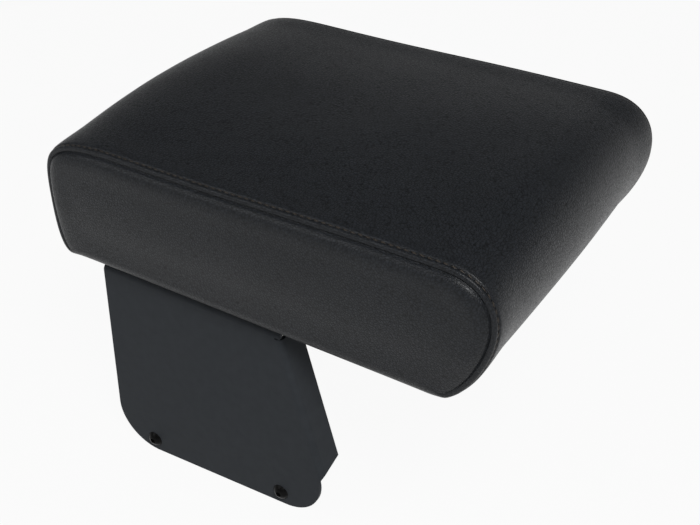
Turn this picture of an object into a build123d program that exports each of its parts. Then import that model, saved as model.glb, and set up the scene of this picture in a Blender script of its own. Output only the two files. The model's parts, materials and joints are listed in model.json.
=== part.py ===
from build123d import *
import math
import os

# Car centre armrest. A crowned leatherette pad folds up on a hidden rear hinge, over a folded sheet-steel
# saddle whose two walls straddle the car's centre console.
# While it is modelled, X runs from the pad's rear to its nose, Y to the left, and Z up from the pad's underside.
# At the end every piece is tipped together, so that the saddle stands on the bottom edges of its walls.
# All sizes are in millimetres and degrees.

# Pad outline at its sides
PAD_LENGTH = 255.0
PAD_WIDTH = 185.5
NOSE_HEIGHT = 74.8
REAR_HEIGHT = 72.1
NOSE_TIP_HEIGHT = 48.5
NOSE_SHOULDER = 27.6
NOSE_UNDERCUT = 31.0
REAR_TIP_HEIGHT = 37.5
REAR_SHOULDER = 49.5
REAR_UNDERCUT = 11.2

# How full each corner of the outline is where its curve starts and ends: 0 is a straight cut, 1 a square corner
NOSE_LOW_START = 0.54
NOSE_LOW_END = 0.33
NOSE_HIGH_START = 0.66
NOSE_HIGH_END = 0.59
REAR_HIGH_START = 0.95
REAR_HIGH_END = 0.69
REAR_LOW_START = 0.60
REAR_LOW_END = 0.87

# How far the middle of the pad swells past the outline of its sides
CROWN_TOP = 6.6
CROWN_NOSE = 1.7
CROWN_REAR = 4.2

# Cover, foam, board and lining
COVER = 1.2
EDGE_RADIUS = 3.0
SEAM_DROP = 3.6
HEM = 26.0
HEM_CORNER = 8.0
BOARD = 12.0
BOARD_CORNER = 10.0
SOFT_GAP = 0.3

# Staples through the hem
STAPLE_CROWN = 10.0
STAPLE_LEG = 8.0
STAPLE_WIRE = 0.9
STAPLE_DEPTH = 0.6
STAPLE_PITCH = 36.0

# Folded bracket
BRACKET_WIDTH = 174.0
SHEET = 2.0
BEND_INSIDE = 1.5
WALL_REAR = 25.2
WALL_REAR_HEIGHT = 125.2
REAR_LEAN = 2.2
BOTTOM_SLOPE = 3.2
REAR_CORNER = 25.0
FRONT_CORNER = 23.5
FOLD_FRONT = 138.0
WEB_LIP = 0.6
FOLD_LEAN = 15.3
FLANGE_DEPTH = 16.8
FLANGE_DROP = 83.6
FLANGE_SLANT = 11.9
RELIEF = 1.0
TAB_SWEEP = 8.0

# Captive console screws: a button head outside, a waisted neck in the threaded hole, a free threaded end inside
SCREW_REAR = 20.7
SCREW_SPACING = 88.7
SCREW_LIFT = 7.8
SCREW_HEAD = 9.5
SCREW_HEAD_HEIGHT = 2.75
SCREW_SOCKET = 3.0
SCREW_SOCKET_DEPTH = 1.6
SCREW_THREAD = 5.0
SCREW_LENGTH = 16.0
SCREW_POINT = 0.8
THREAD_DEPTH = 0.4
NECK_GAP = 0.15
NECK_SPARE = 0.4

# Butt hinge between web and board
HINGE_LENGTH = 120.0
HINGE_KNUCKLES = 5
LEAF = 1.5
LEAF_WIDTH = 36.0
LEAF_CORNER = 5.0
PIN = 3.0
PIN_HEAD = 4.6
PIN_HEAD_HEIGHT = 1.0
PIN_RUN_GAP = 0.08
KNUCKLE_RUN_GAP = 0.3
KNUCKLE_EDGE_GAP = 1.0
FIXING_SETBACK = 24.0
FIXING_PITCH = 42.0
FIXINGS = 3

# Flush fixings of the hinge
RIVET = 4.0
RIVET_HEAD = 6.6
RIVET_TAIL = 6.4
RIVET_TAIL_HEIGHT = 1.6
BOARD_SCREW = 3.9
BOARD_SCREW_HEAD = 6.6
BOARD_SCREW_LENGTH = 12.0
BOARD_SCREW_POINT = 2.5
BOARD_SCREW_TIP = 0.8

# Push-in rubber buffers at the front of the web
BUFFER_FRONT = 121.0
BUFFER_SPREAD = 100.0
BUFFER_HEAD = 14.0
BUFFER_ROUND = 0.8
BUFFER_NECK = 6.0
BUFFER_BULB = 8.4
BUFFER_TIP = 5.0
BUFFER_BULB_LENGTH = 4.5

# Levels and lines that several pieces share
WEB_TOP = -2 * LEAF
WEB_UNDER = WEB_TOP - SHEET
BEND_OUTSIDE = BEND_INSIDE + SHEET
BEND_END = WEB_TOP - BEND_OUTSIDE
KNUCKLE_RADIUS = PIN / 2 + LEAF
AXIS_X = WALL_REAR - KNUCKLE_RADIUS - KNUCKLE_EDGE_GAP
AXIS_Z = -KNUCKLE_RADIUS - KNUCKLE_RUN_GAP
BOARD_TOP = COVER + BOARD
BOARD_REAR = REAR_UNDERCUT
BOARD_FRONT = PAD_LENGTH - NOSE_UNDERCUT
HALF_PAD = PAD_WIDTH / 2
HALF_BRACKET = BRACKET_WIDTH / 2
BASE_LEVEL = WEB_TOP - WALL_REAR_HEIGHT
WEB_FRONT = FOLD_FRONT + WEB_LIP
FLANGE_TOP = BEND_END - RELIEF
FLANGE_END = WEB_TOP - FLANGE_DROP
BEND_WIDTH = BEND_OUTSIDE / math.cos(math.radians(FOLD_LEAN))
REACH = PAD_LENGTH + PAD_WIDTH


def block(x, y, z):
    """A box between two x values, two y values and two z values."""
    size = (x[1] - x[0], y[1] - y[0], z[1] - z[0])
    middle = (sum(x) / 2, sum(y) / 2, sum(z) / 2)
    return Pos(*middle) * Box(*size)


def plate(x, y, z, corner):
    """A box whose four upright edges are rounded."""
    return fillet(block(x, y, z).edges().filter_by(Axis.Z), corner)


def turned(outline):
    """A body turned about Z from an outline of (radius, height) points that starts and ends on the axis."""
    edges = Polyline(*[(r, 0, h) for r, h in outline], close=True)
    return revolve(make_face(edges), Axis.Z)


def both_sides(piece):
    """A piece and its mirror image on the other side of the armrest."""
    return [piece, mirror(piece, about=Plane.XZ)]


# Pad: sections across the width, each a closed side profile of a straight underside and five curves

def corner_curve(start, corner, end, start_fullness, end_fullness):
    """A curve that leaves its start towards a corner and arrives at its end from that corner."""
    first = start + (corner - start) * start_fullness
    last = end + (corner - end) * end_fullness
    return Bezier(start, first, last, end)


def pad_section(y, inset, low):
    """Side profile of the pad at one place across its width: inside the outer surface by the inset, down to low."""
    swell = 1 - (y / HALF_PAD) ** 2
    rear = -CROWN_REAR * swell + inset
    nose = PAD_LENGTH + CROWN_NOSE * swell - inset
    nose_top = NOSE_HEIGHT + CROWN_TOP * swell - inset
    rear_top = REAR_HEIGHT + CROWN_TOP * swell - inset
    under_rear = Vector(REAR_UNDERCUT, y, low)
    under_nose = Vector(PAD_LENGTH - NOSE_UNDERCUT, y, low)
    nose_tip = Vector(nose, y, NOSE_TIP_HEIGHT)
    nose_shoulder = Vector(PAD_LENGTH - NOSE_SHOULDER, y, nose_top)
    rear_shoulder = Vector(REAR_SHOULDER, y, rear_top)
    rear_tip = Vector(rear, y, REAR_TIP_HEIGHT)
    middle = (nose_shoulder.X + rear_shoulder.X) / 2
    edges = [
        Line(under_rear, under_nose),
        corner_curve(under_nose, Vector(nose, y, low), nose_tip, NOSE_LOW_START, NOSE_LOW_END),
        corner_curve(nose_tip, Vector(nose, y, nose_top), nose_shoulder, NOSE_HIGH_START, NOSE_HIGH_END),
        Bezier(nose_shoulder, (middle, y, nose_top), (middle, y, rear_top), rear_shoulder),
        corner_curve(rear_shoulder, Vector(rear, y, rear_top), rear_tip, REAR_HIGH_START, REAR_HIGH_END),
        corner_curve(rear_tip, Vector(rear, y, low), under_rear, REAR_LOW_START, REAR_LOW_END),
    ]
    return make_face(edges)


def pad_form(inset):
    """The whole crowned pad as a solid, inside the cover's outer surface by the inset."""
    half = HALF_PAD - inset
    form = loft([pad_section(half * place, inset, inset) for place in (-1, 0, 1)])
    ends = form.faces().sort_by(Axis.Y)
    return fillet(ends[0].edges() + ends[-1].edges(), EDGE_RADIUS - inset)


def staple_row(length):
    """Places of the staples along one side of the hem, counted from its middle."""
    count = int(length / STAPLE_PITCH)
    return [(step - (count - 1) / 2) * STAPLE_PITCH for step in range(count)]


def staple_places():
    """Middle and turn of each staple, along the middle of the hem."""
    x0 = BOARD_REAR + HEM / 2
    x1 = BOARD_FRONT - HEM / 2
    half = HALF_PAD - EDGE_RADIUS - HEM / 2
    places = []
    for step in staple_row(x1 - x0):
        x = (x0 + x1) / 2 + step
        places += [Pos(x, -half, 0), Pos(x, half, 0)]
    for y in staple_row(2 * half):
        places += [Pos(x0, y, 0) * Rot(0, 0, 90), Pos(x1, y, 0) * Rot(0, 0, 90)]
    return places


def staple():
    """One staple, with its crown pressed flush into the hem and two legs in the board."""
    wire = (-STAPLE_WIRE / 2, STAPLE_WIRE / 2)
    crown = block((-STAPLE_CROWN / 2, STAPLE_CROWN / 2), wire, (0, STAPLE_DEPTH))
    leg = block((-STAPLE_CROWN / 2, -STAPLE_CROWN / 2 + STAPLE_DEPTH), wire, (0, STAPLE_LEG))
    return crown + leg + mirror(leg, about=Plane.YZ)


def make_pad(staples, screws):
    """The cover's three pieces, the foam, the board and the lining."""
    shell = pad_form(0) - pad_form(COVER)
    hem_x = (BOARD_REAR + HEM, BOARD_FRONT - HEM)
    hem_y = HALF_PAD - EDGE_RADIUS - HEM
    opening = plate(hem_x, (-hem_y, hem_y), (-COVER, COVER), HEM_CORNER)
    shell = shell - opening - staples
    panel = Pos(0, COVER, 0) * pad_section(HALF_PAD, SEAM_DROP, -COVER)
    panel = extrude(panel, amount=3 * COVER, dir=(0, -1, 0))
    panel = panel + block(hem_x, (hem_y - HEM_CORNER, HALF_PAD), (-COVER, EDGE_RADIUS))
    left = shell & panel
    right = mirror(left, about=Plane.XZ)
    top_cover = shell - both_sides(panel)

    foam = pad_form(COVER + SOFT_GAP)
    foam = foam - block((BOARD_REAR, BOARD_FRONT), (-HALF_PAD, HALF_PAD), (0, BOARD_TOP))

    board_y = HALF_PAD - COVER - SOFT_GAP
    board_x = (BOARD_REAR + SOFT_GAP, BOARD_FRONT - SOFT_GAP)
    board = plate(board_x, (-board_y, board_y), (COVER, BOARD_TOP), BOARD_CORNER)
    board = fillet(board.faces().sort_by(Axis.Z)[0].edges(), EDGE_RADIUS - COVER)
    board = board - staples - screws

    lining_x = (hem_x[0] + SOFT_GAP, hem_x[1] - SOFT_GAP)
    lining_y = hem_y - SOFT_GAP
    lining = plate(lining_x, (-lining_y, lining_y), (0, COVER), HEM_CORNER - SOFT_GAP) - screws
    return top_cover, left, right, foam, board, lining


# Bracket: a channel bent from sheet, trimmed to the side outline of its walls, with a folded front return each side

def fold_x(z):
    """Where the front fold of a wall is at a height."""
    return FOLD_FRONT + (WEB_TOP - z) * math.tan(math.radians(FOLD_LEAN))


def base_point(along, lift):
    """A point of a wall, from the bottom edge's rear end along that edge and square to it."""
    tip = math.radians(BOTTOM_SLOPE)
    x = WALL_REAR + along * math.cos(tip) - lift * math.sin(tip)
    z = BASE_LEVEL + along * math.sin(tip) + lift * math.cos(tip)
    return x, z


def meet(p, p_angle, q, q_angle):
    """Where two lines of the side view cross, each given by a point and its slope angle."""
    a = math.radians(p_angle)
    b = math.radians(q_angle)
    gap = (q[0] - p[0], q[1] - p[1])
    reach = (gap[0] * math.sin(b) - gap[1] * math.cos(b)) / math.sin(b - a)
    return p[0] + reach * math.cos(a), p[1] + reach * math.sin(a)


def wall_outline():
    """Prism of the walls' side outline up to the front bends, right across the bracket."""
    top = -WEB_TOP
    base = base_point(0, 0)
    rear_top = (WALL_REAR, WEB_TOP)
    rear_low = meet(rear_top, 90 - REAR_LEAN, base, BOTTOM_SLOPE)
    front_low = meet((FOLD_FRONT - BEND_WIDTH, WEB_TOP), 90 + FOLD_LEAN, base, BOTTOM_SLOPE)
    points = [(WALL_REAR, top), rear_top, rear_low, front_low, (fold_x(top) - BEND_WIDTH, top)]
    edges = Polyline(*[(x, HALF_BRACKET, z) for x, z in points], close=True)
    prism = extrude(make_face(edges), amount=BRACKET_WIDTH, dir=(0, -1, 0))
    corners = prism.edges().filter_by(Axis.Y).sort_by(Axis.Z)[:2].sort_by(Axis.X)
    prism = fillet(corners[0], REAR_CORNER)
    corner = prism.edges().filter_by(Axis.Y).sort_by_distance((front_low[0], 0, front_low[1]))[0]
    return fillet(corner, FRONT_CORNER)


def channel():
    """The web and both walls as one long bent channel."""
    half = HALF_BRACKET
    low = BASE_LEVEL - REACH
    outside = block((0, REACH), (-half, half), (low, WEB_TOP))
    outside = fillet(outside.edges().filter_by(Axis.X).sort_by(Axis.Z)[-2:], BEND_OUTSIDE)
    inside = block((0, REACH), (-half + SHEET, half - SHEET), (low, WEB_UNDER))
    inside = fillet(inside.edges().filter_by(Axis.X).sort_by(Axis.Z)[-2:], BEND_INSIDE)
    return outside - inside


def front_return():
    """Right wall's front return: a strip of the wall, the bend and the flange, along the leaning fold."""
    lean = math.radians(FOLD_LEAN)
    strip = 2 * BEND_OUTSIDE
    origin = (fold_x(FLANGE_END), -HALF_BRACKET, FLANGE_END)
    across = (math.cos(lean), 0, math.sin(lean))
    along = (-math.sin(lean), 0, math.cos(lean))
    plane = Plane(origin=origin, x_dir=across, z_dir=along)
    outer = Polyline((-strip, 0), (0, 0), (0, FLANGE_DEPTH))
    inner = Polyline((0, FLANGE_DEPTH), (-SHEET, FLANGE_DEPTH), (-SHEET, SHEET), (-strip, SHEET), (-strip, 0))
    profile = make_face(outer.edges() + inner.edges())
    profile = fillet(profile.vertices().sort_by_distance((0, 0, 0))[0], BEND_OUTSIDE)
    profile = fillet(profile.vertices().sort_by_distance((-SHEET, SHEET, 0))[0], BEND_INSIDE)
    bar = extrude(plane * profile, amount=2 * FLANGE_DROP, both=True)
    bar = bar - block((0, REACH), (-PAD_WIDTH, 0), (FLANGE_TOP, REACH))
    corner = Plane(origin, x_dir=plane.x_dir + plane.y_dir, z_dir=plane.x_dir - plane.y_dir)
    return bar & flange_end(corner)


def flange_end(corner):
    """What a flange's slanted end leaves, cut square to the corner and swept into the lower tab."""
    slope = math.sqrt(2) * math.tan(math.radians(FLANGE_SLANT))
    free = FLANGE_DEPTH / math.sqrt(2)
    rim = -(BEND_OUTSIDE + SHEET / 4) / math.sqrt(2)
    foot = (rim - free) * slope
    tangent = TAB_SWEEP / math.tan((math.pi / 2 + math.atan(slope)) / 2)
    low = foot - tangent - SHEET / 8
    slant = [(REACH, (REACH - free) * slope), (rim, foot)]
    points = [(-REACH, REACH), (REACH, REACH), *slant, (rim, low), (-REACH, low)]
    window = extrude(corner * make_face(Polyline(*points, close=True)), amount=REACH, both=True)
    sweep = window.edges().sort_by_distance(corner.from_local_coords((rim, foot, 0)))[0]
    return fillet(sweep, TAB_SWEEP)


def make_bracket(cutters):
    """The whole bracket, less the holes that its fixings fill."""
    top = block((FOLD_FRONT - 2 * BEND_WIDTH, WEB_FRONT), (-HALF_BRACKET, HALF_BRACKET), (BEND_END, 0))
    body = channel() & (wall_outline() + top)
    return body + both_sides(front_return()) - cutters


# Captive screws of the console, two through each wall

def screw_places():
    """Where the right wall's screws go: the outer face of the wall, pointing inwards."""
    places = []
    for along in (SCREW_REAR, SCREW_REAR + SCREW_SPACING):
        x, z = base_point(along, SCREW_LIFT)
        places.append(Pos(x, -HALF_BRACKET, z) * Rot(-90, 0, 0))
    return places


def hole_radius():
    """Radius of the threaded hole's crests, which the screw's neck passes and its thread doesn't."""
    return SCREW_THREAD / 2 - THREAD_DEPTH


def console_screw():
    """One captive screw, its head outside at negative Z and its threaded end at positive Z."""
    neck = hole_radius() - NECK_GAP
    neck_end = SHEET + NECK_SPARE
    thread = SCREW_THREAD / 2
    shank = turned([
        (0, 0),
        (neck, 0),
        (neck, neck_end),
        (thread, neck_end),
        (thread, SCREW_LENGTH - SCREW_POINT),
        (thread - SCREW_POINT, SCREW_LENGTH),
        (0, SCREW_LENGTH),
    ])
    dome_radius = (SCREW_HEAD ** 2 / 4 + SCREW_HEAD_HEIGHT ** 2) / (2 * SCREW_HEAD_HEIGHT)
    ball = Pos(0, 0, dome_radius - SCREW_HEAD_HEIGHT) * Sphere(dome_radius)
    dome = ball & block((-SCREW_HEAD, SCREW_HEAD), (-SCREW_HEAD, SCREW_HEAD), (-SCREW_HEAD_HEIGHT, 0))
    socket = RegularPolygon(SCREW_SOCKET / 2, 6, major_radius=False)
    socket = Pos(0, 0, -SCREW_HEAD_HEIGHT) * extrude(socket, amount=SCREW_SOCKET_DEPTH)
    return dome - socket + shank


def console_hole():
    """The hole that a console screw's neck passes through."""
    return Pos(0, 0, SHEET / 2) * Cylinder(hole_radius(), 3 * SHEET)


# Hinge: two leaves that lie flat on each other under the closed pad, on a pin behind the bracket's rear edge

def axis_cylinder(radius, y0, y1):
    """A cylinder on the hinge's axis between two places across the armrest."""
    return Pos(AXIS_X, (y0 + y1) / 2, AXIS_Z) * Rot(90, 0, 0) * Cylinder(radius, y1 - y0)


def make_leaf(level, first, bore, fixings):
    """A leaf from its lower face's level, with every other knuckle from the first, less its fixings."""
    half = HINGE_LENGTH / 2
    pitch = HINGE_LENGTH / HINGE_KNUCKLES
    leaf = block((AXIS_X, AXIS_X + LEAF_WIDTH), (-half, half), (level, level + LEAF))
    leaf = fillet(leaf.edges().filter_by(Axis.Z).sort_by(Axis.X)[-2:], LEAF_CORNER)
    for knuckle in range(HINGE_KNUCKLES):
        y0 = -half + knuckle * pitch
        y1 = y0 + pitch
        gap = KNUCKLE_RUN_GAP / 2
        if knuckle % 2 == first:
            leaf = leaf + axis_cylinder(KNUCKLE_RADIUS, y0 + gap, y1 - gap)
        else:
            room = KNUCKLE_RADIUS + KNUCKLE_RUN_GAP
            leaf = leaf - block((AXIS_X - room, AXIS_X + room), (y0 - gap, y1 + gap), (level, level + LEAF))
    return leaf - axis_cylinder(bore, -half, half) - fixings


def make_pin():
    """The hinge pin, upset at both ends."""
    half = HINGE_LENGTH / 2
    pin = axis_cylinder(PIN / 2, -half, half)
    head = axis_cylinder(PIN_HEAD / 2, half, half + PIN_HEAD_HEIGHT)
    return pin + both_sides(head)


def fixing_places(level):
    """Where the hinge's fixings go, on the face of a leaf at a level."""
    x = AXIS_X + FIXING_SETBACK
    return [Pos(x, (i - (FIXINGS - 1) / 2) * FIXING_PITCH, level) for i in range(FIXINGS)]


def rivet():
    """Flush rivet hanging from a leaf's upper face, its tail spread under the web."""
    head = RIVET_HEAD / 2
    shank = RIVET / 2
    under = -LEAF - SHEET
    tail = RIVET_TAIL / 2
    return turned([
        (0, 0),
        (head, 0),
        (shank, shank - head),
        (shank, under),
        (tail, under),
        (tail, under - RIVET_TAIL_HEIGHT / 2),
        (tail / 2, under - RIVET_TAIL_HEIGHT),
        (0, under - RIVET_TAIL_HEIGHT),
    ])


def board_screw():
    """Countersunk screw standing in the board, its head flush with the upper leaf's lower face."""
    head = BOARD_SCREW_HEAD / 2
    shank = BOARD_SCREW / 2
    return turned([
        (0, 0),
        (head, 0),
        (shank, head - shank),
        (shank, BOARD_SCREW_LENGTH - BOARD_SCREW_POINT),
        (BOARD_SCREW_TIP / 2, BOARD_SCREW_LENGTH),
        (0, BOARD_SCREW_LENGTH),
    ])


# Buffers

def buffer():
    """Rubber buffer, from its seat on the web up to the closed pad and down through the web."""
    head = BUFFER_HEAD / 2
    neck = BUFFER_NECK / 2
    return turned([
        (0, -WEB_TOP),
        (head - BUFFER_ROUND, -WEB_TOP),
        (head, -WEB_TOP - BUFFER_ROUND),
        (head, 0),
        (neck, 0),
        (neck, -SHEET),
        (BUFFER_BULB / 2, -SHEET),
        (BUFFER_TIP / 2, -SHEET - BUFFER_BULB_LENGTH),
        (0, -SHEET - BUFFER_BULB_LENGTH),
    ])


# All pieces, still in the pad's frame

rivets = [place * rivet() for place in fixing_places(-LEAF)]
board_screws = [place * board_screw() for place in fixing_places(-LEAF)]
staples = [place * staple() for place in staple_places()]
buffers = both_sides(Pos(BUFFER_FRONT, -BUFFER_SPREAD / 2, WEB_TOP) * buffer())
console_screws = [copy for place in screw_places() for copy in both_sides(place * console_screw())]
console_holes = [copy for place in screw_places() for copy in both_sides(place * console_hole())]
top_cover, panel_left, panel_right, foam, board, lining = make_pad(staples, board_screws)

pieces = {
    "console_bracket": make_bracket(rivets + buffers + console_holes),
    "console_screws": console_screws,
    "hinge_lower_leaf": make_leaf(WEB_TOP, 0, PIN / 2, rivets),
    "hinge_upper_leaf": make_leaf(-LEAF, 1, PIN / 2 + PIN_RUN_GAP, board_screws),
    "hinge_pin": make_pin(),
    "hinge_rivets": rivets,
    "hinge_screws": board_screws,
    "rubber_buffers": buffers,
    "base_board": board,
    "foam_block": foam,
    "underside_lining": lining,
    "cover_staples": staples,
    "top_cover": top_cover,
    "side_panel_left": panel_left,
    "side_panel_right": panel_right,
}

# Stand the part on the walls' bottom edges, with the middle of its length and width over the origin
tip = Rot(0, BOTTOM_SLOPE, 0)
box = (tip * pieces["top_cover"]).bounding_box()
rear_base = tip * Pos(WALL_REAR, 0, BASE_LEVEL)
stand = Pos(-(box.min.X + box.max.X) / 2, 0, -rear_base.position.Z) * tip

os.makedirs("parts", exist_ok=True)
for name, piece in pieces.items():
    solids = piece if isinstance(piece, list) else [piece]
    placed = [stand * solid for solid in solids]
    shape = Compound(children=placed) if len(placed) > 1 else placed[0]
    export_step(shape, f"parts/{name}.step")

hinge = stand * Pos(AXIS_X, 0, AXIS_Z)
print("hinge axis at", hinge.position)
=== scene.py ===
# %% [markdown]
# # A folding car armrest
# A car centre armrest is a foam pad in a sewn leatherette cover. It stands on a folded steel
# saddle, and a hinge at the rear lets it fold up. All of it could be modelled here by eye, but the
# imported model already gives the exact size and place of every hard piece. So this lesson loads it
# first, and then makes the finishes and the soft pieces around it.

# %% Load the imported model
import json
import math

import bmesh
import bpy
from mathutils import Matrix, Vector, noise
from mathutils.bvhtree import BVHTree
from mathutils.geometry import intersect_point_line


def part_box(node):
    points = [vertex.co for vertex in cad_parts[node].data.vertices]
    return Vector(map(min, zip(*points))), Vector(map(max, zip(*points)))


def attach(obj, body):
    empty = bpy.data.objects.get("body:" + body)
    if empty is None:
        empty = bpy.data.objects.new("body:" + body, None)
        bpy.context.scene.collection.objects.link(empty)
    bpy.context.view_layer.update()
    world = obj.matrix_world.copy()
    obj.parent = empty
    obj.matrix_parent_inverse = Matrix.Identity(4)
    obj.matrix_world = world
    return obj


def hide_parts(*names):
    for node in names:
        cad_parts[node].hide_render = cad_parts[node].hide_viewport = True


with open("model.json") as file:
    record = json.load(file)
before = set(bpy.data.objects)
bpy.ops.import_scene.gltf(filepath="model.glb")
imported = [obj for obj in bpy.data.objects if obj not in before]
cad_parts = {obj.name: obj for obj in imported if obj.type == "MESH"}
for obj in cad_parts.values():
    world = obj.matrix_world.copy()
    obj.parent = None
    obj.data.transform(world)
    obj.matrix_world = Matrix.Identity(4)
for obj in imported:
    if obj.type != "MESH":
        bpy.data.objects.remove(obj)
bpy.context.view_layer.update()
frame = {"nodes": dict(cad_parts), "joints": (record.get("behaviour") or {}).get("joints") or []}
scene = bpy.context.scene
scene.view_settings.view_transform = "Standard"
print("loaded", len(frame["nodes"]), "nodes")

# %% [markdown]
# ## The camera
# The picture looks down on the armrest from its front right corner, with the camera leaning a few
# degrees. The camera could be turned by three Euler angles, but those are hard to picture. Here an
# azimuth, an elevation and a roll give three directions, right, up and back towards the viewer,
# and these are the columns of the camera's matrix.

# %% Find the camera's directions
AZIMUTH = math.radians(34.018)
ELEVATION = math.radians(33.411)
ROLL = math.radians(-3.662)

back = Vector((
    math.sin(AZIMUTH) * math.cos(ELEVATION),
    -math.cos(AZIMUTH) * math.cos(ELEVATION),
    math.sin(ELEVATION),
))
level_right = Vector((math.cos(AZIMUTH), math.sin(AZIMUTH), 0.0))
level_up = back.cross(level_right)
right = level_right * math.cos(ROLL) + level_up * math.sin(ROLL)
up = back.cross(right)
print("the viewer is towards", [round(c, 3) for c in back])

# %% Place the camera
LOOK_AT = Vector((-0.00465, 0.0, 0.10504))
CAMERA_DISTANCE = 0.63432
LENS = 59.18
SENSOR_WIDTH = 36.0
NEAR_LIMIT = 0.01

camera = bpy.data.objects.new("camera", bpy.data.cameras.new("camera"))
camera.data.lens = LENS
camera.data.sensor_width = SENSOR_WIDTH
camera.data.clip_start = NEAR_LIMIT
turn = Matrix((right, up, back)).transposed().to_4x4()
camera.matrix_world = Matrix.Translation(LOOK_AT + back * CAMERA_DISTANCE) @ turn
scene.collection.objects.link(camera)
scene.camera = camera
print("camera at", [round(c, 3) for c in camera.matrix_world.translation])

# %% [markdown]
# ## Start a finish
# Every finish below is a small node tree on the Principled shader. Each tree could be written out
# in full, but they all begin alike, so two helpers do that. One adds a node and fills its sockets
# with numbers or links. The other starts a material, sets the shader's plain values and hands out
# the Object coordinates. Those are in metres here, because every piece sits at the origin, so a
# pattern's scale is simply one over its real size.
#
# The first finish is the cover's leatherette, a black coated fabric. A thin clear coat over a dull
# base gives it the soft highlight along its rolls.

# %% Start the leatherette
def add(tree, kind, sockets=None, **settings):
    made = tree.nodes.new(kind)
    for key, value in settings.items():
        setattr(made, key, value)
    for key, value in (sockets or {}).items():
        if isinstance(value, bpy.types.NodeSocket):
            tree.links.new(value, made.inputs[key])
        else:
            made.inputs[key].default_value = value
    return made


def start_finish(name, **values):
    made = bpy.data.materials.new(name)
    made.use_nodes = True
    tree = made.node_tree
    shader = tree.nodes["Principled BSDF"]
    for key, value in values.items():
        shader.inputs[key.replace("_", " ")].default_value = value
    place = add(tree, "ShaderNodeTexCoord").outputs["Object"]
    return made, tree, shader, place


leatherette, tree, shader, place = start_finish(
    "leatherette_black", Specular_IOR_Level=0.15, Coat_Weight=0.15, Coat_Roughness=0.34
)
print("started", leatherette.name)

# %% [markdown]
# ## The leatherette's grain
# A pebbled grain is pressed into the coating: rounded cells about a millimetre and a half across,
# with thin creases between them. A noise could roughen the skin, but it has no creases. A Voronoi
# texture's distance to the cell edge is exactly that shape, and a little noise bends the cells so
# that they do not look drawn.

# %% Draw the pebbled grain
GRAIN_SIZE = 0.00145
GRAIN_BEND = 0.0006
BEND_SCALE = 0.4 / GRAIN_SIZE
HALF_GREY = (0.5, 0.5, 0.5)
BLACK, SLOPE_GREY, WHITE = (0.0,) * 3, (0.6,) * 3, (1.0,) * 3
SLOPE_AT, TOP_AT = 0.12, 0.38


def ramp(tree, source, *stops):
    made = add(tree, "ShaderNodeValToRGB", {"Fac": source})
    points = made.color_ramp.elements
    while len(points) < len(stops):
        points.new(0.5)
    for point, (where, colour) in zip(points, stops):
        point.position = where
        point.color = (*colour, 1.0)
    return made.outputs["Color"]


def vector_math(tree, operation, sockets):
    return add(tree, "ShaderNodeVectorMath", sockets, operation=operation).outputs[0]


bend = add(tree, "ShaderNodeTexNoise", {"Vector": place, "Scale": BEND_SCALE, "Detail": 2.0})
centred = vector_math(tree, "SUBTRACT", {0: bend.outputs["Color"], 1: HALF_GREY})
small = vector_math(tree, "SCALE", {0: centred, "Scale": GRAIN_BEND})
bent = vector_math(tree, "ADD", {0: place, 1: small})
cells = add(
    tree, "ShaderNodeTexVoronoi", {"Vector": bent, "Scale": 1.0 / GRAIN_SIZE},
    feature="DISTANCE_TO_EDGE",
)
pebbles = ramp(
    tree, cells.outputs["Distance"], (0.0, BLACK), (SLOPE_AT, SLOPE_GREY), (TOP_AT, WHITE)
)
print("grain size", GRAIN_SIZE)

# %% [markdown]
# ## The leatherette's colour and gloss
# The tops of the pebbles are rubbed smooth and glossier, and the creases are duller. The colour is
# painted as well: darker in the creases as painted shade, and lighter on the tops as a painted
# highlight. So the grain drives colour and roughness together, and a slow noise varies both,
# because no two patches of a real cover are quite alike. The pebbles' height goes into a bump: as
# geometry they would need millions of faces.

# %% Colour the grain
GRAIN_DEPTH = 0.00022
GRAIN_STRENGTH = 0.65
PATCH_SCALE = 28.0
PATCH_LOW, PATCH_HIGH = 0.75, 1.15
# Painted shade: the creases are coloured darker. Painted highlight: the pebble tops are coloured
# lighter.
CREASE_SHADE_BLACK = (0.0028, 0.0034, 0.0042)
PEBBLE_HIGHLIGHT_BLACK = (0.0160, 0.0182, 0.0220)
CREASE_ROUGH, PEBBLE_ROUGH = 0.54, 0.30


def remap(tree, source, low, high):
    made = add(tree, "ShaderNodeMapRange", {"Value": source, "To Min": low, "To Max": high})
    return made.outputs["Result"]


def bump(tree, shader, height, depth, strength):
    made = add(
        tree, "ShaderNodeBump", {"Height": height, "Distance": depth, "Strength": strength}
    )
    tree.links.new(made.outputs["Normal"], shader.inputs["Normal"])


patches = add(tree, "ShaderNodeTexNoise", {"Vector": place, "Scale": PATCH_SCALE, "Detail": 3.0})
patchy = remap(tree, patches.outputs["Fac"], PATCH_LOW, PATCH_HIGH)
blend = add(tree, "ShaderNodeMath", {0: pebbles, 1: patchy}, operation="MULTIPLY").outputs[0]
# The colour paints shade into the creases and a highlight onto the pebble tops.
colour = ramp(tree, blend, (0.0, CREASE_SHADE_BLACK), (1.0, PEBBLE_HIGHLIGHT_BLACK))
tree.links.new(colour, shader.inputs["Base Color"])
tree.links.new(remap(tree, blend, CREASE_ROUGH, PEBBLE_ROUGH), shader.inputs["Roughness"])
bump(tree, shader, pebbles, GRAIN_DEPTH, GRAIN_STRENGTH)
print("leatherette nodes", len(tree.nodes))

# %% [markdown]
# ## Coatings, metals and the hidden stuff
# The saddle is powder coated: a satin black skin with a faint orange-peel ripple. The screws are
# blackened steel, the hinge is zinc plated and brushed along its width, and the staples are plain
# wire. Inside there are rubber, plywood and foam. Each could have a tree of its own, but one recipe
# serves them all: a coarse noise sets a small change in colour and roughness, and a fine noise
# gives the bump. Stretching the noise with a Mapping node turns speckle into brush marks, or into
# the grain of wood.

# %% Write the recipe
COARSE_SHARE = 0.12
DARK_AT, LIGHT_AT = 0.3, 0.7
SPECK_STRENGTH = 0.5
UNSTRETCHED = (1.0, 1.0, 1.0)


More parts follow.
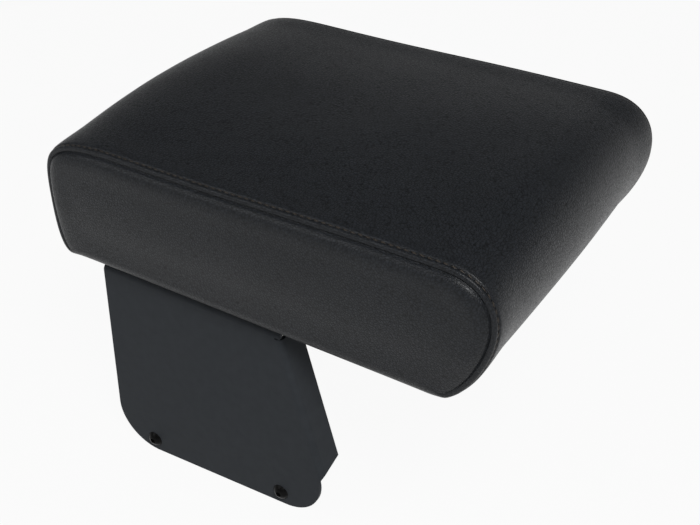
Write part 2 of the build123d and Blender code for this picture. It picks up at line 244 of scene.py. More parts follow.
def hard_finish(name, dark, light, rough, speck, depth, stretch=UNSTRETCHED, **values):
    made, tree, shader, place = start_finish(name, **values)
    spread = add(tree, "ShaderNodeMapping", {"Vector": place, "Scale": stretch}).outputs[0]

    def speckle(scale, detail):
        sockets = {"Vector": spread, "Scale": scale, "Detail": detail}
        return add(tree, "ShaderNodeTexNoise", sockets).outputs["Fac"]

    coarse = speckle(COARSE_SHARE / speck, 4.0)
    fine = speckle(1.0 / speck, 2.0)
    colour = ramp(tree, coarse, (DARK_AT, dark), (LIGHT_AT, light))
    tree.links.new(colour, shader.inputs["Base Color"])
    tree.links.new(remap(tree, coarse, *rough), shader.inputs["Roughness"])
    bump(tree, shader, fine, depth, SPECK_STRENGTH)
    print("finish", name)
    return made


# %% Make the hard finishes
powder_coat = hard_finish(
    "powder_coat_black", dark=(0.0318, 0.0355, 0.0400), light=(0.0375, 0.0415, 0.0465),
    rough=(0.40, 0.52), speck=0.0007, depth=0.00003, Specular_IOR_Level=0.04,
)
black_screw = hard_finish(
    "blackened_steel", dark=(0.003,) * 3, light=(0.006,) * 3,
    rough=(0.22, 0.32), speck=0.0004, depth=0.00001, Specular_IOR_Level=0.06,
)
zinc = hard_finish(
    "zinc_plate", dark=(0.46, 0.46, 0.44), light=(0.60, 0.60, 0.58),
    rough=(0.26, 0.44), speck=0.0005, depth=0.000008, stretch=(1.0, 0.04, 1.0), Metallic=1.0,
)
wire = hard_finish(
    "staple_wire", dark=(0.50,) * 3, light=(0.66,) * 3,
    rough=(0.24, 0.40), speck=0.0003, depth=0.000004, Metallic=1.0,
)
rubber = hard_finish(
    "buffer_rubber", dark=(0.012,) * 3, light=(0.024,) * 3,
    rough=(0.66, 0.86), speck=0.0005, depth=0.00002,
)
plywood = hard_finish(
    "plywood", dark=(0.40, 0.27, 0.15), light=(0.62, 0.46, 0.29),
    rough=(0.55, 0.75), speck=0.0012, depth=0.00004, stretch=(0.06, 1.0, 1.0),
)
foam = hard_finish(
    "foam", dark=(0.58, 0.53, 0.40), light=(0.76, 0.72, 0.59),
    rough=(0.85, 0.98), speck=0.0009, depth=0.0002,
)

# %% [markdown]
# ## Lining cloth
# The lining is a plain black weave. A checker could hint at one, but threads are round. Two wave
# textures at right angles make the over and under of warp and weft, and their product is the
# height. The same product darkens the colour into the gaps between the yarns, as painted shade. A
# wave texture of scale 1 repeats every 0.314 m, so the scale is that length over the pitch.

# %% Weave the lining
WAVE_LENGTH = 0.314
WEAVE_PITCH = 0.0011
WEAVE_DEPTH = 0.0002
WEAVE_STRENGTH = 0.6
GAP_SHADE_BLACK = (0.006,) * 3
YARN_BLACK = (0.026, 0.026, 0.028)
YARN_AT = 0.8

lining_weave, tree, shader, place = start_finish("lining_weave", Roughness=0.88)
waves = {"Vector": place, "Scale": WAVE_LENGTH / WEAVE_PITCH}
warp = add(tree, "ShaderNodeTexWave", waves, bands_direction="X").outputs["Fac"]
weft = add(tree, "ShaderNodeTexWave", waves, bands_direction="Y").outputs["Fac"]
weave = add(tree, "ShaderNodeMath", {0: warp, 1: weft}, operation="MULTIPLY").outputs[0]
# Painted shade: the colour darkens into the gaps between the yarns.
colour = ramp(tree, weave, (0.0, GAP_SHADE_BLACK), (YARN_AT, YARN_BLACK))
tree.links.new(colour, shader.inputs["Base Color"])
bump(tree, shader, weave, WEAVE_DEPTH, WEAVE_STRENGTH)
print("weave pitch", WEAVE_PITCH)

# %% [markdown]
# ## Sewing thread
# The topstitch is a dull brown twisted thread, a little lighter than the leatherette. Each stitch
# is painted dark at both ends, as the shade where it dives into its needle holes, so the row reads
# as a line of small dots. That shade could follow from deeper holes, but they are too small for the
# mesh. The stitch's own UV map runs along it from end to end, so the middle of the map shows the
# fibre and the ends are painted black as shade. A slanted wave is the twist, and the fibre is
# painted darker in its grooves as shade.

# %% Twist the thread
STITCH_UV = "along_stitch"
THREAD_TWIST = 0.0005
TWIST_DEPTH = 0.0001
TWIST_STRENGTH = 0.5
TWIST_WOBBLE = 2.0
# Painted shade: darker fibre in the twist's grooves, and black stitch ends where the thread dives
# into its holes.
THREAD_GROOVE_SHADE = (0.015, 0.012, 0.010)
THREAD_LIGHT = (0.050, 0.040, 0.031)
HOLE_SHADE_BLACK = (0.003, 0.003, 0.003, 1.0)
END_SHADE_STOPS = ((0.20, BLACK), (0.42, WHITE), (0.58, WHITE), (0.80, BLACK))

thread, tree, shader, place = start_finish(
    "sewing_thread", Roughness=0.55, Specular_IOR_Level=0.3
)
waves = {"Vector": place, "Scale": WAVE_LENGTH / THREAD_TWIST, "Distortion": TWIST_WOBBLE}
twist = add(tree, "ShaderNodeTexWave", waves, bands_direction="DIAGONAL").outputs["Fac"]
stitch_map = add(tree, "ShaderNodeUVMap", uv_map=STITCH_UV).outputs["UV"]
along = add(tree, "ShaderNodeSeparateXYZ", {"Vector": stitch_map}).outputs["Y"]
# Painted shade: the ends of each stitch are painted black, and the middle keeps the fibre's colour.
bare = ramp(tree, along, *END_SHADE_STOPS)
fibre = ramp(tree, twist, (0.0, THREAD_GROOVE_SHADE), (1.0, THREAD_LIGHT))
shaded_fibre = add(
    tree, "ShaderNodeMix", {"Factor": bare, "A": HOLE_SHADE_BLACK, "B": fibre}, data_type="RGBA"
)
tree.links.new(shaded_fibre.outputs["Result"], shader.inputs["Base Color"])
bump(tree, shader, twist, TWIST_DEPTH, TWIST_STRENGTH)
print("thread twist", THREAD_TWIST)

# %% [markdown]
# ## Dress the hard pieces
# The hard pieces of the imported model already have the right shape, so none of them is modelled
# again. They only need their finish, which goes into the material slots of each node's object.

# %% Dress the hard pieces
def dress(material, *names):
    for name in names:
        for slot in frame["nodes"][name].material_slots:
            slot.material = material
    print(material.name, "on", *names)


dress(powder_coat, "console_bracket")
dress(black_screw, "console_screws", "hinge_screws")
dress(zinc, "hinge_lower_leaf", "hinge_upper_leaf", "hinge_pin", "hinge_rivets")
dress(wire, "cover_staples")
dress(rubber, "rubber_buffers")
dress(plywood, "base_board")
dress(foam, "foam_block")

# %% [markdown]
# ## The pad's own axes
# The pad leans three degrees on its saddle, so it is easier to model it along its own axes, with x
# from the rear to the nose and z up from its underside, and to place it at the end. The hinge is
# the point both views share: the record says where its axis is, and on the pad it lies just under
# the rear of the board. The lining's edge is where the cover's hem ends under the pad.

# %% Find the pad's axes
PAD_TILT = math.radians(3.2)
HINGE_ON_PAD = Vector((0.0212, 0.0, -0.0033))

hinge_at = Vector(frame["joints"][0]["pos_m"])
pad_axes = (
    Matrix.Translation(hinge_at)
    @ Matrix.Rotation(PAD_TILT, 4, "Y")
    @ Matrix.Translation(-HINGE_ON_PAD)
)
to_pad = pad_axes.inverted()
half_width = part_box("side_panel_left")[1][1]
lining_points = [to_pad @ v.co for v in frame["nodes"]["underside_lining"].data.vertices]
hem_rear = min(p.x for p in lining_points)
hem_front = max(p.x for p in lining_points)
hem_side = max(p.y for p in lining_points)
print("half width", round(half_width, 4))
print("opening", round(hem_rear, 4), round(hem_front, 4), round(hem_side, 4))

# %% [markdown]
# ## Feel the pad with rays
# The cover lies on the foam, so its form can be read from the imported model. The mesh there could
# be copied, but it is loose triangles of all sizes, which neither swell nor bend well. Instead,
# rays shot inwards from all round meet the outside of the cover. A ray that slips through the
# narrow gap round the lining is taken to meet the plane of the underside.

# %% Shoot a ray at the skin
MIDDLE = Vector((0.125, 0.036))
FAR = 0.4

solid = bmesh.new()
for name in ("top_cover", "side_panel_left", "side_panel_right", "underside_lining"):
    solid.from_mesh(frame["nodes"][name].data)
skin = BVHTree.FromBMesh(solid)
print("skin triangles", len(solid.faces))
solid.free()


def skin_point(y, aim):
    way = (aim - MIDDLE).normalized()
    start = pad_axes @ Vector((MIDDLE.x + way.x * FAR, y, MIDDLE.y + way.y * FAR))
    heading = pad_axes.to_3x3() @ Vector((-way.x, 0.0, -way.y))
    met = to_pad @ skin.ray_cast(start, heading)[0]
    if way.y < 0.0 and met.z > MIDDLE.y:
        return MIDDLE - way * (MIDDLE.y / way.y)
    return Vector((met.x, max(met.z, 0.0)))


# %% [markdown]
# ## Divide the sections evenly
# Four corner points split each section into top, nose, underside and rear. Each quarter is divided
# evenly, so that the same count of points runs along every section and the mesh is a clean grid.
# Points at equal angles would be simpler, but they crowd together on the long top. The section
# just inside the pad's edge is the one that the seam follows.

# %% Read the section at the edge
ALONG = 62
UPRIGHT = 22
AROUND = 2 * (ALONG + UPRIGHT)
RAYS = 100
CORNERS = (
    Vector((0.010, 0.064)),
    Vector((0.246, 0.064)),
    Vector((0.232, 0.006)),
    Vector((0.009, 0.004)),
)
EDGE_ROUND = 0.003


def even_points(points, count):
    marks = [0.0]
    for a, b in zip(points, points[1:]):
        marks.append(marks[-1] + (b - a).length)
    spread = []
    at = 0
    for i in range(count):
        goal = marks[-1] * i / count
        while marks[at + 1] < goal:
            at += 1
        part = (goal - marks[at]) / (marks[at + 1] - marks[at])
        spread.append(points[at].lerp(points[at + 1], part))
    return spread


def section(y):
    outline = []
    for corner, count in enumerate((ALONG, UPRIGHT, ALONG, UPRIGHT)):
        first = CORNERS[corner]
        last = CORNERS[(corner + 1) % len(CORNERS)]
        met = [skin_point(y, first.lerp(last, i / RAYS)) for i in range(RAYS + 1)]
        outline += even_points(met, count)
    return outline


def outward(outline):
    made = []
    for i in range(len(outline)):
        run = outline[(i + 1) % len(outline)] - outline[i - 1]
        made.append(Vector((-run.y, run.x)).normalized())
    return made


edge_section = section(half_width - EDGE_ROUND)
edge_out = outward(edge_section)
print("section points", len(edge_section))

# %% [markdown]
# ## The seam's cross-section
# Each side panel is sewn to the top cover inside out and turned, so the seam is a narrow groove. A
# second row of stitches holds the turned edge down a few millimetres above it, in a valley of its
# own, and the leatherette swells into a low ridge between the two. A bump in the material could
# draw these, but they catch the light and show at the outline, so they are geometry. Measured
# along the skin from the seam, three bell curves draw the groove, the ridge and the valley. On the
# panel's side the skin rises steeply out of the groove and then levels out, as an exponential
# curve does.

# %% Shape the seam
SEAM_GAP = 0.0006
GROOVE_DEPTH, GROOVE_WIDTH = 0.00055, 0.00032
RIDGE_LINE, RIDGE_RISE, RIDGE_WIDTH = 0.0023, 0.00035, 0.0011
STITCH_LINE, VALLEY_DEPTH, VALLEY_WIDTH = 0.0044, 0.00100, 0.0007
PANEL_ROLL, ROLL_WIDTH = 0.0033, 0.0023


def bell(x, centre, width):
    return math.exp(-(((x - centre) / width) ** 2))


def groove(s):
    return GROOVE_DEPTH * bell(s, 0.0, GROOVE_WIDTH)


def cover_lift(s):
    ridge = RIDGE_RISE * bell(s, RIDGE_LINE, RIDGE_WIDTH)
    valley = VALLEY_DEPTH * bell(s, STITCH_LINE, VALLEY_WIDTH)
    return ridge - valley - groove(s)


def panel_lift(e):
    return PANEL_ROLL * (1.0 - math.exp(-e / ROLL_WIDTH)) - groove(e)


print("ridge", round(cover_lift(RIDGE_LINE), 5), "valley", round(cover_lift(STITCH_LINE), 5))

# %% [markdown]
# ## Where the seam fades
# On the underside the cover is only pulled flat over the board, so the seam's shape fades out
# there. A cut-off at a fixed point would leave a step. Instead, each point of the section gets a
# share of the seam, which falls smoothly from one to none as the skin turns downwards.

# %% Fade the seam
FADE_FROM = -0.90
FADE_SPAN = 0.25
SEWN = 0.5


def smooth(x):
    x = min(max(x, 0.0), 1.0)
    return x * x * (3.0 - 2.0 * x)


seam_share = [smooth((n.y - FADE_FROM) / FADE_SPAN) for n in edge_out]
seam_runs = []
for i in range(AROUND):
    if seam_share[i - 1] > SEWN and seam_share[i] > SEWN:
        seam_runs.append((edge_section[i - 1], edge_section[i]))
print("seam points", sum(1 for share in seam_share if share > SEWN))

# %% [markdown]
# ## The side panel's swell
# Foam pushes each side panel out between its seam and the board at the bottom, where the panel
# simply rolls under. A simulation alone could do this, but not so steep a roll on a mesh of this
# size. So the form is drawn, and the simulation below adds to it. How far the panel stands out
# depends on the distance from the seam: a steep roll close to it, then a slow swell, and less of
# both towards the bottom. At the bottom edge the same figure sets how wide the roll is.

# %% Shape the panels
PANEL_SWELL = 0.0008
PANEL_REACH = 0.030
PANEL_FALL = 0.64
FALL_HEIGHT = 0.036
BOTTOM_ROUND = 0.008


def seam_gap(at):
    nearest = FAR
    for a, b in seam_runs:
        part = min(max(intersect_point_line(at, a, b)[1], 0.0), 1.0)
        nearest = min(nearest, (at - a.lerp(b, part)).length)
    return max(0.0, nearest - EDGE_ROUND - SEAM_GAP)


def seam_rise(at):
    rest = 1.0 - min(1.0, seam_gap(at) / PANEL_REACH)
    return 1.0 - rest * rest


def panel_stand(at):
    low = smooth((FALL_HEIGHT - at.y) / (FALL_HEIGHT - BOTTOM_ROUND))
    full = PANEL_SWELL * seam_rise(at) + panel_lift(seam_gap(at))
    return full * (1.0 - PANEL_FALL * low)


bottom_stand = (PANEL_SWELL + PANEL_ROLL) * (1.0 - PANEL_FALL)
edge_round = []
edge_stand = []
for p, n in zip(edge_section, edge_out):
    wide = min(1.0, max(0.0, panel_stand(p) / bottom_stand))
    edge_round.append(EDGE_ROUND + (BOTTOM_ROUND - EDGE_ROUND) * wide)
    edge_stand.append(max(0.0, panel_stand(p - n * (edge_round[-1] + SEAM_GAP))))
print("widest roll", round(max(edge_round), 4))

# %% [markdown]
# ## Loops of the cover
# The whole cover is one tube of loops that runs from the right panel over the pad to the left
# panel. A panel's loops are set in from its edge, the rim's loops go round the rounded edge, and
# the others follow sections across the pad. Each loop is measured by its distance from the seam
# along the skin, so the seam's cross-section can be laid on it.

# %% Draw the loops of panel and rim
ARC_END = SEAM_GAP + EDGE_ROUND * math.pi / 2


def panel_loop(side, e):
    loop = []
    for p, n, r in zip(edge_section, edge_out, edge_round):
        at = p - n * (r + SEAM_GAP + e)
        loop.append(Vector((at.x, side * (half_width + panel_stand(at)), at.y)))
    return loop


def rim_loop(side, s):
    angle = min(math.pi / 2, (ARC_END - s) / EDGE_ROUND)
    inset = max(0.0, SEAM_GAP - s)
    loop = []
    for p, n, r, wider, share in zip(edge_section, edge_out, edge_round, edge_stand, seam_share):
        lift = share * cover_lift(s)
        at = p + n * ((r + lift) * math.cos(angle) - r - inset)
        wide = half_width + wider - r + (r + lift) * math.sin(angle)
        loop.append(Vector((at.x, side * wide, at.y)))
    return loop


print("rim ends", round(ARC_END, 4), "from the seam")

# %% [markdown]
# ## How far apart the loops are
# Close to the seams the loops are half a millimetre apart, to hold the groove and the ridge, and
# over the middle they are about five and a half millimetres apart. Even steps would either lose
# the seam or make far too many faces. Where the panel's roll widens the edge, the loops beside it
# take up the difference little by little.

# %% Draw the loops across the pad
COVER_STEPS = (
    0.0004, 0.0008, 0.0013, 0.0018, 0.0023, 0.0028, 0.0033, 0.0037, 0.0041, 0.0044, 0.0047,
    0.0051, 0.0056, 0.0064, 0.0076, 0.0092, 0.0115, 0.0150, 0.0200,
)


def span_loop(y, s):
    outline = section(y)
    loop = []
    for p, n, share in zip(outline, outward(outline), seam_share):
        at = p + n * share * cover_lift(s)
        loop.append(Vector((at.x, y, at.y)))
    return loop


def cover_loop(side, s):
    if s <= ARC_END:
        return rim_loop(side, s)
    loop = span_loop(side * (half_width - EDGE_ROUND - (s - ARC_END)), s)
    fade = (COVER_STEPS[-1] - s) / (COVER_STEPS[-1] - ARC_END)
    for at, wider, r in zip(loop, edge_stand, edge_round):
        at.y += side * fade * (wider - r + EDGE_ROUND)
    return loop


print("loops beside each seam", len(COVER_STEPS))

# %% [markdown]
# ## Lay the loops in order
# The loops go into one list, from panel to panel. A second list beside it says how firmly each
# loop of the top cover is held, which the simulation needs later: fully at the seam, less and less
# towards the middle. On a panel the hold depends on the distance from the seam and the bottom
# edge, not on the loop, so the panels' entries stay empty.

# %% Lay the loops
PANEL_STEPS = (0.0002, 0.0005, 0.0009, 0.0014, 0.0021, 0.0030, 0.0042, 0.0058)
MIDDLE_STEP = 0.0055
HELD_STRIP = 0.006
HOLD_REACH = 0.022

loops = []
holds = []


def lay_panel(side, steps):
    for e in steps:
        loops.append(panel_loop(side, e))
        holds.append(None)


def lay_seam(side, steps):
    for s in steps:
        loops.append(cover_loop(side, s))
        holds.append(1.0 - smooth((s - HELD_STRIP) / HOLD_REACH))


def lay_middle():
    last_y = half_width - EDGE_ROUND - (COVER_STEPS[-1] - ARC_END)
    count = round(2 * last_y / MIDDLE_STEP)
    for i in range(1, count):
        y = -last_y + 2 * last_y * i / count
        loops.append(span_loop(y, half_width))
        holds.append(1.0 - smooth((half_width - abs(y)) / HOLD_REACH))


seam_steps = (0.0,) + COVER_STEPS
lay_panel(-1, PANEL_STEPS[::-1])
lay_seam(-1, seam_steps)
lay_middle()
lay_seam(1, seam_steps[::-1])
lay_panel(1, PANEL_STEPS)
print("loops", len(loops))

# %% [markdown]
# ## Roll a grid into a tube
# The faces of the cover could be listed one by one, but a flat grid from `create_grid` has the
# right ones already: its columns go round the pad and its rows are the loops. Moving every vertex
# to its place rolls the grid up. Each vertex also gets its hold, and each face a material number
# that notes which of the three cut parts it belongs to.

# %% Build the tube
RIGHT_PANEL, COVER, LEFT_PANEL = 1, 0, 2


def grid_at(bm, columns, rows, place, hold, part):
    made = bmesh.ops.create_grid(bm, x_segments=columns, y_segments=rows, size=1.0)["verts"]
    grip = bm.verts.layers.float["hold"]
    faces = set()
    for v in made:
        i = round((v.co.x + 1.0) / 2.0 * columns)
        j = round((v.co.y + 1.0) / 2.0 * rows)
        v.co = place(i, j)
        v[grip] = hold(i, j, v.co)
        faces.update(v.link_faces)
        v.index = j
    for face in faces:
        face.material_index = part(min(v.index for v in face.verts))


def loop_part(row):
    if row < len(PANEL_STEPS):
        return RIGHT_PANEL
    return COVER if row < len(loops) - 1 - len(PANEL_STEPS) else LEFT_PANEL


def panel_hold(at):
    from_seam = smooth(seam_gap(at.xz) / HOLD_REACH)
    from_bottom = smooth((at.z - BOTTOM_ROUND) / HOLD_REACH)
    return 1.0 - from_seam * from_bottom


def loop_hold(i, j, at):
    if holds[j] is None:
        return panel_hold(at)
    return max(holds[j], 1.0 - seam_share[i % AROUND])


cover_mesh = bmesh.new()
cover_mesh.verts.layers.float.new("hold")
grid_at(
    cover_mesh, AROUND, len(loops) - 1,
    lambda i, j: loops[j][i % AROUND],
    loop_hold,
    loop_part,
)
print("tube faces", len(cover_mesh.faces))

# %% [markdown]
# ## Fill the panels
# The middle of each side panel is still open. One big face would close it, but it could not swell.
# A second grid is stretched between the four edges of the last loop, which is called a Coons
# patch, and stands out as far as the panel does. Merging the doubles then joins the grids and
# closes the tube.

# %% Close the cover
WELD = 1e-6


def patch_place(loop):
    a, b, c, d = loop[0], loop[ALONG], loop[ALONG + UPRIGHT], loop[2 * ALONG + UPRIGHT]

    def place(i, j):
        u, v = i / ALONG, j / UPRIGHT
        top, low = loop[i], loop[2 * ALONG + UPRIGHT - i]
        rear, nose = loop[-j], loop[ALONG + j]
        edges = top * (1 - v) + low * v + rear * (1 - u) + nose * u
        at = edges - (a * (1 - u) * (1 - v) + b * u * (1 - v) + d * (1 - u) * v + c * u * v)
        if 0 < i < ALONG and 0 < j < UPRIGHT:
            at.y = math.copysign(half_width + panel_stand(at.xz), at.y)
        return at

    return place


for loop, part in ((loops[0], RIGHT_PANEL), (loops[-1], LEFT_PANEL)):
    grid_at(
        cover_mesh, ALONG, UPRIGHT, patch_place(loop),
        lambda i, j, at: panel_hold(at),
        lambda row, part=part: part,
    )
bmesh.ops.remove_doubles(cover_mesh, verts=cover_mesh.verts, dist=WELD)
bmesh.ops.recalc_face_normals(cover_mesh, faces=cover_mesh.faces)
open_edges = sum(1 for e in cover_mesh.edges if not e.is_manifold)
print("cover faces", len(cover_mesh.faces), "open edges", open_edges)

# %% [markdown]
# ## Let the foam fill the cover
# Sewn by a machine, the cover is a little too small for its foam, and it swells between its seams.
# That could be sculpted, but a cloth simulation with pressure does the same as the foam does: the
# seams and the underside are held, the rest is free, and a soft cap keeps the swelling under three
# millimetres. The start is drawn in a little, so that the result ends at the true size.

# %% Swell the cover
DRAW_IN = 0.0010
SWELL_CAP = 0.0030
PRESSURE = 6.0
BENDING = 2.0
FRAMES = 20


def swell(bm):
    grip = bm.verts.layers.float["hold"]
    bm.normal_update()
    for v in bm.verts:
        v.co -= v.normal * DRAW_IN * (1.0 - v[grip])
    mesh = bpy.data.meshes.new("cover_cloth")
    bm.to_mesh(mesh)
    cloth_object = bpy.data.objects.new("cover_cloth", mesh)
    scene.collection.objects.link(cloth_object)
    group = cloth_object.vertex_groups.new(name="held")
    for v in bm.verts:
        group.add([v.index], v[grip], "REPLACE")
    cloth = cloth_object.modifiers.new("cloth", "CLOTH")
    cloth.settings.use_pressure = True
    cloth.settings.uniform_pressure_force = PRESSURE
    cloth.settings.effector_weights.gravity = 0.0
    cloth.settings.vertex_group_mass = "held"
    cloth.settings.bending_stiffness = BENDING
    for number in range(1, FRAMES + 1):
        scene.frame_set(number)
    depsgraph = bpy.context.evaluated_depsgraph_get()
    swollen = [v.co.copy() for v in cloth_object.evaluated_get(depsgraph).data.vertices]
    bpy.data.objects.remove(cloth_object)
    scene.frame_set(1)
    most = 0.0
    for v in bm.verts:
        move = swollen[v.index] - v.co
        most = max(most, move.length)
        v.co += move * (SWELL_CAP / (SWELL_CAP + move.length)) * (1.0 - v[grip])
    return most


cover_mesh.verts.index_update()
print("swelling before the cap", round(swell(cover_mesh), 4))

# %% [markdown]
# ## Hand-made unevenness
# No upholsterer pulls a cover perfectly even. A slow noise moves the free skin in and out by a
# fraction of a millimetre, enough to make the highlights wander. A bump could do that too, but
# only geometry goes into the exported mesh.

# %% Make it slightly uneven
UNEVEN = 0.00035
UNEVEN_SIZE = 0.045

grip = cover_mesh.verts.layers.float["hold"]
cover_mesh.normal_update()
for v in cover_mesh.verts:
    v.co += v.normal * noise.noise(v.co / UNEVEN_SIZE) * UNEVEN * (1.0 - v[grip])
print("unevenness", UNEVEN)

# %% [markdown]
# ## Smooth the cover
# One level of subdivision rounds the grid. The modifier could stay on the piece, but the opening
# under the pad is cut through the smooth shape, so the result is made a real mesh first.

# %% Smooth the cover
rough_mesh = bpy.data.meshes.new("cover_rough")
cover_mesh.to_mesh(rough_mesh)
cover_mesh.free()
rough_cover = bpy.data.objects.new("cover_rough", rough_mesh)
scene.collection.objects.link(rough_cover)
rounding = rough_cover.modifiers.new("rounding", "SUBSURF")
rounding.levels = 1
rounding.render_levels = 1
depsgraph = bpy.context.evaluated_depsgraph_get()
fine_mesh = bpy.data.meshes.new_from_object(rough_cover.evaluated_get(depsgraph))
bpy.data.objects.remove(rough_cover)

whole = bmesh.new()
whole.from_mesh(fine_mesh)
print("smooth faces", len(whole.faces))

# %% [markdown]
# ## Open the underside
# Under the pad the cover ends in a stapled hem, with a rectangular opening that the lining closes.
# A Boolean could punch it out, but it leaves ragged faces. Four planes cut the underside along the
# opening's edges, the faces inside go, and the bare edge is extruded upwards to show the thickness
# of the material. Last, the cover moves from the pad's axes to its place.

# %% Open the underside
HEM_THICKNESS = 0.0010
UNDERSIDE = 0.0006


def underside_geometry():
    faces = [f for f in whole.faces if all(v.co.z < UNDERSIDE for v in f.verts)]
    edges = {e for f in faces for e in f.edges}
    return list({v for f in faces for v in f.verts}) + list(edges) + faces


def in_opening(face):
    middle = face.calc_center_median()
    inside = hem_rear < middle.x < hem_front and abs(middle.y) < hem_side
    return inside and middle.z < UNDERSIDE


def turn_up_edge(bm):
    bare = [e for e in bm.edges if e.is_boundary]
    turned = bmesh.ops.extrude_edge_only(bm, edges=bare)["geom"]
    verts = [g for g in turned if isinstance(g, bmesh.types.BMVert)]
    bmesh.ops.translate(bm, verts=verts, vec=(0, 0, HEM_THICKNESS))


for point, normal in (
    ((hem_rear, 0, 0), (1, 0, 0)),
    ((hem_front, 0, 0), (1, 0, 0)),
    ((0, hem_side, 0), (0, 1, 0)),
    ((0, -hem_side, 0), (0, 1, 0)),
):
    bmesh.ops.bisect_plane(
        whole, geom=underside_geometry(), plane_co=point, plane_no=normal, dist=WELD
    )
bmesh.ops.delete(whole, geom=[f for f in whole.faces if in_opening(f)], context="FACES")
turn_up_edge(whole)
bmesh.ops.transform(whole, matrix=pad_axes, verts=whole.verts)
print("whole cover faces", len(whole.faces))

# %% [markdown]
# ## Cut the cover into its panels
# The real cover is sewn from three cut parts, and so are these pieces: the top cover and the two
# side panels part at the seams. Modelling them one by one would leave gaps between them. Copies of
# one whole cover, each with the other parts' faces deleted, meet exactly.


def finish_piece(bm, name, material, body):
    mesh = bpy.data.meshes.new(name)
    bm.to_mesh(mesh)
    bm.free()
    mesh.materials.clear()
    mesh.materials.append(material)
    mesh.polygons.foreach_set("use_smooth", [True] * len(mesh.polygons))
    mesh.polygons.foreach_set("material_index", [0] * len(mesh.polygons))
    piece = bpy.data.objects.new(name, mesh)
    scene.collection.objects.link(piece)
    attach(piece, body)
    print(name, "triangles", sum(len(p.vertices) - 2 for p in mesh.polygons))
    return piece


cover_surface = BVHTree.FromBMesh(whole)
for name, part, node in (
    ("cover_top", COVER, "top_cover"),
    ("cover_side_right", RIGHT_PANEL, "side_panel_right"),
    ("cover_side_left", LEFT_PANEL, "side_panel_left"),
):
    panel = whole.copy()
    others = [f for f in panel.faces if f.material_index != part]
    bmesh.ops.delete(panel, geom=others, context="FACES")
    piece = finish_piece(panel, name, leatherette, "pad")
    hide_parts(node)
whole.free()

# %% [markdown]
# ## Topstitching
# The second row of stitches lies in the valley above each seam. One stitch is a short rounded bit
# of thread that dips into the cover at both ends, so a squashed sphere of a few dozen faces is
# enough, turned along the seam and leaning a little as machine stitches do. An Array on a curve
# could repeat it, but the nearest point on the cover gives each stitch its own place and slope, so
# every one lies on the swollen skin.

# %% Sew the topstitch
STITCH_PITCH = 0.00377
STITCH_HALF = Vector((0.00042, 0.00042, 0.00185))
STITCH_LEAN = math.radians(9.0)
STITCH_RISE = 0.00014


def seam_path(side):
    row = rim_loop(side, STITCH_LINE)
    path = []
    for i in range(AROUND):
        k = (i + ALONG + UPRIGHT + ALONG // 2) % AROUND
        if seam_share[k] > SEWN:
            path.append((row[k], (row[(k + 1) % AROUND] - row[k - 1]).normalized()))
    return path


def stitch_matrix(side, near, run):
    on, normal, _, _ = cover_surface.find_nearest(pad_axes @ near)
    across = normal.cross(pad_axes.to_3x3() @ run).normalized()
    lay = Matrix((across, normal, across.cross(normal))).transposed().to_4x4()
    lean = Matrix.Rotation(STITCH_LEAN * side, 4, normal)
    lift = Matrix.Translation(on + normal * STITCH_RISE)
    return lift @ lean @ lay @ Matrix.Diagonal((*STITCH_HALF, 1.0))


for side, name in ((-1, "topstitch_right"), (1, "topstitch_left")):
    path = seam_path(side)
    stitches = bmesh.new()
    stitches.loops.layers.uv.new(STITCH_UV)
    goal = STITCH_PITCH / 2
    gone = 0.0
    for (p, run), (q, _) in zip(path, path[1:]):
        length = (q - p).length
        while goal < gone + length:
            stitch = stitch_matrix(side, p.lerp(q, (goal - gone) / length), run)
            bmesh.ops.create_uvsphere(
                stitches, u_segments=8, v_segments=6, radius=1.0, matrix=stitch, calc_uvs=True
            )
            goal += STITCH_PITCH
        gone += length
    finish_piece(stitches, name, thread, "pad")

# %% [markdown]
# ## The lining
# A woven cloth closes the opening under the pad. It is stretched and stapled, so it needs no
# simulation: a fine grid that rises a little between its edges, a bit unevenly, with a thin edge
# turned up all round. A grid faces upwards, so its faces are reversed to look down.

# %% Stretch the lining
LINING_LOW = 0.0002
LINING_RISE = 0.0004
LINING_EVEN = 0.6
LINING_CELLS = 40
EDGE_STEEPNESS = 8

cloth_bm = bmesh.new()
bmesh.ops.create_grid(cloth_bm, x_segments=LINING_CELLS, y_segments=LINING_CELLS, size=0.5)
centre = Vector(((hem_rear + hem_front) / 2, 0.0, LINING_LOW))
size = Vector((hem_front - hem_rear, 2 * hem_side, 1.0))
for v in cloth_bm.verts:
    free_x = smooth((0.5 - abs(v.co.x)) * EDGE_STEEPNESS)
    free_y = smooth((0.5 - abs(v.co.y)) * EDGE_STEEPNESS)
    v.co = centre + Vector((v.co.x * size.x, v.co.y * size.y, 0.0))
    uneven = LINING_EVEN + noise.noise(v.co / UNEVEN_SIZE)
    v.co.z += free_x * free_y * LINING_RISE * uneven
bmesh.ops.reverse_faces(cloth_bm, faces=cloth_bm.faces)
turn_up_edge(cloth_bm)
bmesh.ops.transform(cloth_bm, matrix=pad_axes, verts=cloth_bm.verts)
lining = finish_piece(cloth_bm, "lining_cloth", lining_weave, "pad")
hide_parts("underside_lining")

# %% [markdown]
# ## Floor
# A pale floor keeps the picture plain. Strong lamps could make it white, but they would wash out
# the armrest. So the Light Path node tells apart what the camera sees, directly or mirrored in a
# glossy surface, and the light that the floor gives: seen, it is nearly white, and the light stays
# at a plain level. A little of its own shading is mixed in, so that the armrest keeps its soft
# shadow. It is a wide plane, so no edge of it shows, and far out its white fades into the grey of
# the horizon.

# %% Lay the floor
FLOOR_REACH = 6.0
FLOOR_GREY = (0.42, 0.42, 0.42, 1.0)
FLOOR_WHITE = 0.94
PURE_WHITE = (1.0, 1.0, 1.0, 1.0)
HORIZON = 0.6
WHITE_TO, GREY_FROM = 0.8, 2.5


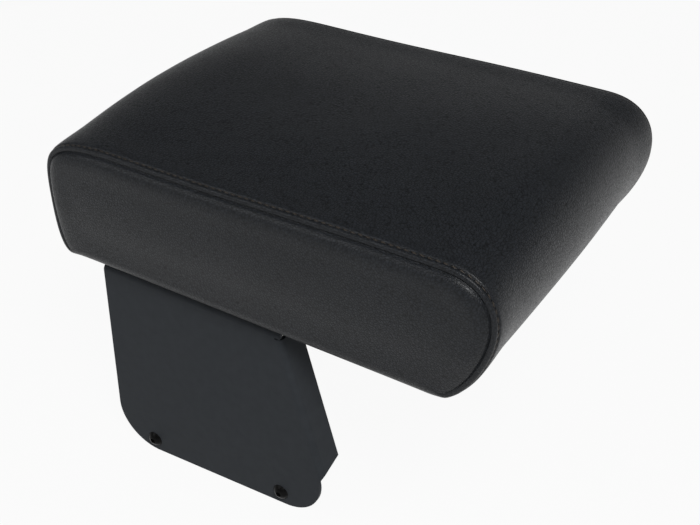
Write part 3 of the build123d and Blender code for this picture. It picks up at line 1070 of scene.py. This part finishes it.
def seen_share(tree):
    path = add(tree, "ShaderNodeLightPath").outputs
    share = path["Is Camera Ray"]
    for other in ("Is Glossy Ray", "Is Transmission Ray"):
        larger = add(tree, "ShaderNodeMath", {0: share, 1: path[other]}, operation="MAXIMUM")
        share = larger.outputs[0]
    return share


def fade_over(tree, source, start, end, low, high):
    sockets = {
        "Value": source, "From Min": start, "From Max": end, "To Min": low, "To Max": high,
    }
    return add(tree, "ShaderNodeMapRange", sockets).outputs["Result"]


floor_bm = bmesh.new()
bmesh.ops.create_grid(floor_bm, x_segments=1, y_segments=1, size=FLOOR_REACH)
floor_mesh = bpy.data.meshes.new("floor")
floor_bm.to_mesh(floor_mesh)
floor_bm.free()
pale, tree, shader, place = start_finish("floor_pale", Roughness=0.9, Specular_IOR_Level=0.1)
shader.inputs["Base Color"].default_value = FLOOR_GREY
reach = add(tree, "ShaderNodeVectorMath", {0: place}, operation="LENGTH").outputs["Value"]
fade = fade_over(tree, reach, WHITE_TO, GREY_FROM, 1.0, HORIZON)
white = add(tree, "ShaderNodeEmission", {"Color": PURE_WHITE, "Strength": fade})
share = remap(tree, seen_share(tree), 0.0, FLOOR_WHITE)
both = add(tree, "ShaderNodeMixShader", {0: share, 1: shader.outputs[0], 2: white.outputs[0]})
tree.links.new(both.outputs[0], tree.nodes["Material Output"].inputs["Surface"])
floor_mesh.materials.append(pale)
floor = bpy.data.objects.new("floor", floor_mesh)
scene.collection.objects.link(floor)
print("floor", 2 * FLOOR_REACH, "m wide")

# %% [markdown]
# ## Surroundings
# A room gives light from all round, and glossy things mirror it. One even white would do for the
# light, but a satin black pad would mirror it everywhere and turn grey. So the light is a plain
# even level, while the surroundings that are seen or mirrored dim from the horizon upwards, as
# walls and a ceiling do.

# %% Surround the scene
SURROUND = 0.25
CEILING = 0.14
CEILING_FROM = 0.4

world = bpy.data.worlds.new("studio")
world.use_nodes = True
scene.world = world
tree = world.node_tree
surround = tree.nodes["Background"]
surround.inputs["Color"].default_value = PURE_WHITE
way = add(tree, "ShaderNodeTexCoord").outputs["Generated"]
height = add(tree, "ShaderNodeSeparateXYZ", {"Vector": way}).outputs["Z"]
backdrop = fade_over(tree, height, 0.0, CEILING_FROM, HORIZON, CEILING)
level = add(tree, "ShaderNodeMix", {"Factor": seen_share(tree), "A": SURROUND, "B": backdrop})
tree.links.new(level.outputs["Result"], surround.inputs["Strength"])
print("surround", SURROUND)

# %% [markdown]
# ## Lamps
# The key lamp stands high at the front right. That is the place from which it mirrors in the
# panel's roll at the nose, and from which the pad shades the top few millimetres of the saddle's
# wall. A weaker, wider lamp at the rear right mirrors in the roll along the straight part of the
# seam and softens the shadows. Spot lamps would draw hard shadows, so both are area lamps.

# %% Hang the lamps
def lamp(name, way, distance, size, watts):
    made = bpy.data.lights.new(name, "AREA")
    made.size = size
    made.energy = watts
    thing = bpy.data.objects.new(name, made)
    towards = Vector(way).normalized()
    thing.location = LOOK_AT + towards * distance
    thing.rotation_euler = towards.to_track_quat("Z", "Y").to_euler()
    scene.collection.objects.link(thing)
    print(name, watts, "W")


lamp("lamp_key", way=(0.48, -0.44, 0.76), distance=1.2, size=0.4, watts=10.5)
lamp("lamp_fill", way=(-0.47, -0.66, 0.59), distance=1.3, size=0.7, watts=3.2)
